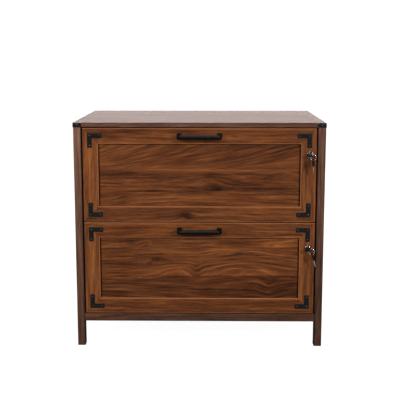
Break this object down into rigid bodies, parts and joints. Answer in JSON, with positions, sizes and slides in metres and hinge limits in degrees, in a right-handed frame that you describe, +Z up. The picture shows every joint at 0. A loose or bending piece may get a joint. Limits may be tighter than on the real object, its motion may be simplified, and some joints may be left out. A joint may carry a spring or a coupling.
{
  "type": "filing cabinet",
  "caption": "Lateral file cabinet of walnut-look boards: lockable drawers on telescopic slides, framed fronts with black corner brackets and bar handles, square post legs.",
  "frame": {"origin": "on the floor, midway across the width and the whole depth with the handles", "axes": "+X to the right seen from the front, the drawers open towards -Y, +Z up"},
  "size_m": [0.8054, 0.482, 0.737],
  "materials": {
    "case_walnut": "satin walnut laminate, straight grain",
    "front_walnut": "satin walnut laminate, figured grain",
    "box_walnut": "matt walnut laminate",
    "back_board": "matt laminated hardboard",
    "beech": "raw beech",
    "black_steel": "satin black powder coat",
    "zinc_steel": "bright zinc plate",
    "lock_chrome": "polished",
    "key_plastic": "black moulded plastic and nickelled steel blade"
  },
  "bodies": {
    "root": {"top_board": "case_walnut", "front_left_post": "case_walnut", "front_right_post": "case_walnut", "rear_left_post": "case_walnut", "rear_right_post": "case_walnut", "left_side_panel": "case_walnut", "right_side_panel": "case_walnut", "back_panel": "back_board", "bottom_board": "case_walnut", "front_bottom_rail": "case_walnut", "corner_caps": "black_steel", "corner_cap_nails": "black_steel", "carcass_dowels": "beech", "top_board_fittings": "zinc_steel", "outer_slides": "zinc_steel", "outer_slide_screws": "zinc_steel"},
    "upper_drawer": {"upper_front_panel": "front_walnut", "upper_frame_rails": "front_walnut", "upper_frame_stiles": "front_walnut", "upper_corner_brackets": "black_steel", "upper_bracket_screws": "black_steel", "upper_handle": "black_steel", "upper_handle_screws": "zinc_steel", "upper_front_fittings": "zinc_steel", "upper_left_box_side": "box_walnut", "upper_right_box_side": "box_walnut", "upper_box_back": "box_walnut", "upper_box_bottom": "box_walnut", "upper_inner_slides": "zinc_steel", "upper_inner_slide_screws": "zinc_steel", "upper_file_frames": "black_steel", "upper_lock_housing": "lock_chrome"},
    "upper_slide_middle": {"upper_middle_slides": "zinc_steel"},
    "upper_lock": {"upper_lock_plug": "lock_chrome", "upper_lock_cam": "zinc_steel"},
    "upper_inserted_key": {"upper_key": "key_plastic"},
    "upper_hanging_ring": {"upper_key_ring": "lock_chrome"},
    "upper_hanging_key": {"upper_spare_key": "key_plastic"},
    "lower_drawer": {"lower_front_panel": "front_walnut", "lower_frame_rails": "front_walnut", "lower_frame_stiles": "front_walnut", "lower_corner_brackets": "black_steel", "lower_bracket_screws": "black_steel", "lower_handle": "black_steel", "lower_handle_screws": "zinc_steel", "lower_front_fittings": "zinc_steel", "lower_left_box_side": "box_walnut", "lower_right_box_side": "box_walnut", "lower_box_back": "box_walnut", "lower_box_bottom": "box_walnut", "lower_inner_slides": "zinc_steel", "lower_inner_slide_screws": "zinc_steel", "lower_file_frames": "black_steel", "lower_lock_housing": "lock_chrome"},
    "lower_slide_middle": {"lower_middle_slides": "zinc_steel"},
    "lower_lock": {"lower_lock_plug": "lock_chrome", "lower_lock_cam": "zinc_steel"},
    "lower_inserted_key": {"lower_key": "key_plastic"},
    "lower_hanging_ring": {"lower_key_ring": "lock_chrome"},
    "lower_hanging_key": {"lower_spare_key": "key_plastic"}
  },
  "joints": [
    {"name": "upper_drawer_slide", "type": "slide", "parent": "root", "child": "upper_drawer", "axis": [0, -1, 0], "range_m": [0, 0.38]},
    {"name": "upper_slide_middle_travel", "type": "slide", "parent": "root", "child": "upper_slide_middle", "axis": [0, -1, 0], "range_m": [0, 0.19]},
    {"name": "upper_lock_turn", "type": "hinge", "parent": "upper_drawer", "child": "upper_lock", "pos_m": [0.35, -0.209, 0.635], "axis": [0, 1, 0], "range_deg": [0, 90]},
    {"name": "upper_key_pull", "type": "slide", "parent": "upper_lock", "child": "upper_inserted_key", "axis": [0, -1, 0], "range_m": [0, 0.02]},
    {"name": "upper_ring_swing", "type": "hinge", "parent": "upper_inserted_key", "child": "upper_hanging_ring", "pos_m": [0.35825, -0.2305, 0.635], "axis": [0, 1, 0], "range_deg": [-90, 15]},
    {"name": "upper_spare_key_swing", "type": "hinge", "parent": "upper_hanging_ring", "child": "upper_hanging_key", "pos_m": [0.35825, -0.2305, 0.62095], "axis": [1, 0, 0], "range_deg": [-75, 15]},
    {"name": "lower_drawer_slide", "type": "slide", "parent": "root", "child": "lower_drawer", "axis": [0, -1, 0], "range_m": [0, 0.38]},
    {"name": "lower_slide_middle_travel", "type": "slide", "parent": "root", "child": "lower_slide_middle", "axis": [0, -1, 0], "range_m": [0, 0.19]},
    {"name": "lower_lock_turn", "type": "hinge", "parent": "lower_drawer", "child": "lower_lock", "pos_m": [0.35, -0.209, 0.33], "axis": [0, 1, 0], "range_deg": [0, 90]},
    {"name": "lower_key_pull", "type": "slide", "parent": "lower_lock", "child": "lower_inserted_key", "axis": [0, -1, 0], "range_m": [0, 0.02]},
    {"name": "lower_ring_swing", "type": "hinge", "parent": "lower_inserted_key", "child": "lower_hanging_ring", "pos_m": [0.35825, -0.2305, 0.33], "axis": [0, 1, 0], "range_deg": [-76, 29]},
    {"name": "lower_spare_key_swing", "type": "hinge", "parent": "lower_hanging_ring", "child": "lower_hanging_key", "pos_m": [0.36165, -0.2305, 0.31637], "axis": [0.9703, 0, 0.2419], "range_deg": [-75, 15]}
  ],
  "couplings": [
    {"joint": "upper_slide_middle_travel", "follows": "upper_drawer_slide", "ratio": 0.5},
    {"joint": "lower_slide_middle_travel", "follows": "lower_drawer_slide", "ratio": 0.5}
  ]
}
